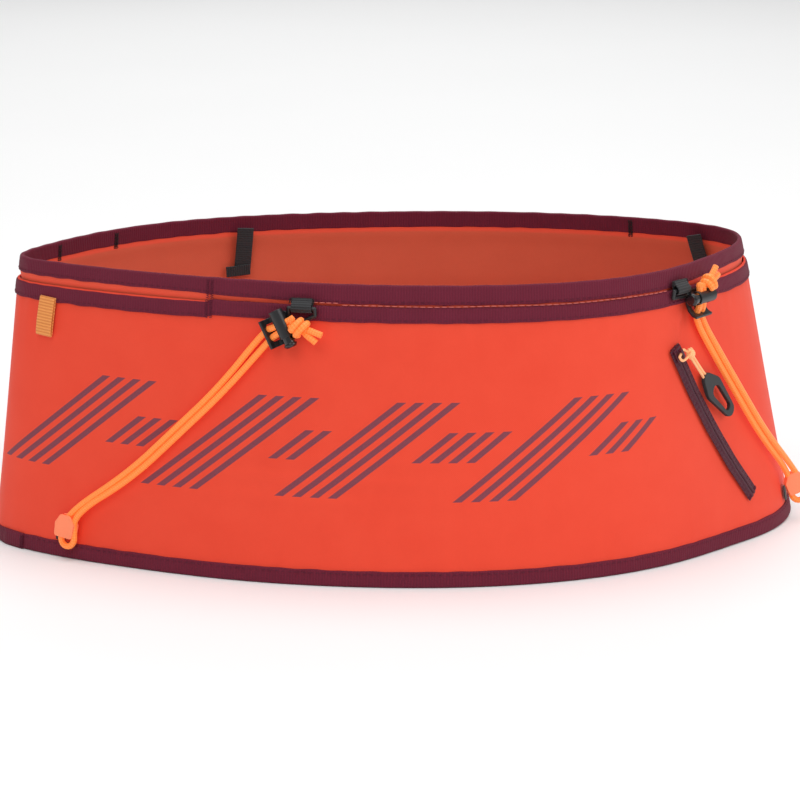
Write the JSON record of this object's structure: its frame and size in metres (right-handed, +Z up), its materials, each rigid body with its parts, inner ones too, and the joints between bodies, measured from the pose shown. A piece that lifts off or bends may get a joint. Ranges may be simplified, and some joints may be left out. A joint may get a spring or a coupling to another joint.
{
  "type": "stretch running belt",
  "caption": "Tubular stretch running belt worn as a waist pack, with an open-top fabric pocket, a zipped pocket and two elastic cord carriers with sprung cord locks.",
  "frame": {"origin": "centre of the bounding box at the hem, on the surface that the belt stands on", "axes": "+X along the long axis towards the wearer's left end, -Y the front with the cord locks and the zip, +Z up from hem to rim"},
  "size_m": [0.3753, 0.2084, 0.13],
  "materials": {
    "shell_fabric": "matte stretch knit with printed slanted stripes",
    "inner_fabric": "matte stretch knit",
    "elastic_binding": "ribbed elastic, matte",
    "thread": "dense stitching",
    "webbing_orange": "ribbed webbing, matte",
    "webbing_black": "woven webbing, matte",
    "zip_tape": "woven tape, matte",
    "zip_coil": "nylon coil",
    "zip_metal": "enamelled",
    "lining": "thin knit",
    "cord_thin": "braided cord",
    "cord_elastic": "braided elastic cord",
    "puller_plastic": "soft moulded, satin",
    "lock_plastic": "satin moulded",
    "button_plastic": "polished end",
    "spring_steel": "drawn wire",
    "hook_plastic": "satin moulded"
  },
  "bodies": {
    "belt": {"inner_panel": "inner_fabric", "outer_panel": "shell_fabric", "top_binding": "elastic_binding", "pocket_binding": "elastic_binding", "hem_binding": "elastic_binding", "front_bartacks": "thread", "inner_bartacks": "thread", "side_loop_tab": "webbing_orange", "inner_strap_left": "webbing_black", "inner_strap_right": "webbing_black", "zip_tape_front": "zip_tape", "zip_tape_rear": "zip_tape", "zip_coil_front": "zip_coil", "zip_coil_rear": "zip_coil", "zip_stops": "zip_metal", "zip_pocket_lining": "lining", "lock_tab_left": "webbing_black", "lock_tab_right": "webbing_black", "hem_anchor_left": "webbing_black", "hem_anchor_right": "webbing_black"},
    "carrier_left": {"lock_frame_left": "lock_plastic", "lock_barrel_left": "lock_plastic", "lock_spring_left": "spring_steel", "carrier_cord_left": "cord_elastic", "cord_knot_left": "cord_elastic", "cord_hook_left": "hook_plastic"},
    "button_left": {"lock_plunger_left": "button_plastic"},
    "carrier_right": {"lock_frame_right": "lock_plastic", "lock_barrel_right": "lock_plastic", "lock_spring_right": "spring_steel", "carrier_cord_right": "cord_elastic", "cord_knot_right": "cord_elastic", "cord_hook_right": "hook_plastic"},
    "button_right": {"lock_plunger_right": "button_plastic"},
    "slider": {"zip_slider": "zip_metal"},
    "puller": {"puller_cord": "cord_thin", "puller_ring": "puller_plastic"}
  },
  "joints": [
    {"name": "lift_left", "type": "hinge", "parent": "belt", "child": "carrier_left", "pos_m": [-0.05464, -0.07801, 0.1196], "axis": [-0.939, 0.3438, 0], "range_deg": [0, 80]},
    {"name": "press_left", "type": "slide", "parent": "carrier_left", "child": "button_left", "axis": [-0.389, 0.2733, 0.8798], "range_m": [0, 0.0028], "stiffness_N_per_m": 300, "springref_m": -0.002, "deforming": ["lock_spring_left"]},
    {"name": "lift_right", "type": "hinge", "parent": "belt", "child": "carrier_right", "pos_m": [0.11387, -0.06741, 0.1206], "axis": [-0.7479, -0.6638, 0], "range_deg": [0, 40]},
    {"name": "press_right", "type": "slide", "parent": "carrier_right", "child": "button_right", "axis": [0.7073, 0.7069, 0], "range_m": [0, 0.0028], "stiffness_N_per_m": 300, "springref_m": -0.002, "deforming": ["lock_spring_right"]},
    {"name": "zip_travel", "type": "hinge", "parent": "belt", "child": "slider", "pos_m": [0.3321, 0.15886, 0.24986], "axis": [0.6658, -0.7342, 0.133], "range_deg": [0, 13.59]},
    {"name": "puller_swing", "type": "hinge", "parent": "slider", "child": "puller", "pos_m": [0.11315, -0.07251, 0.09312], "axis": [-0.4907, -0.5651, -0.6632], "range_deg": [0, 120]}
  ]
}
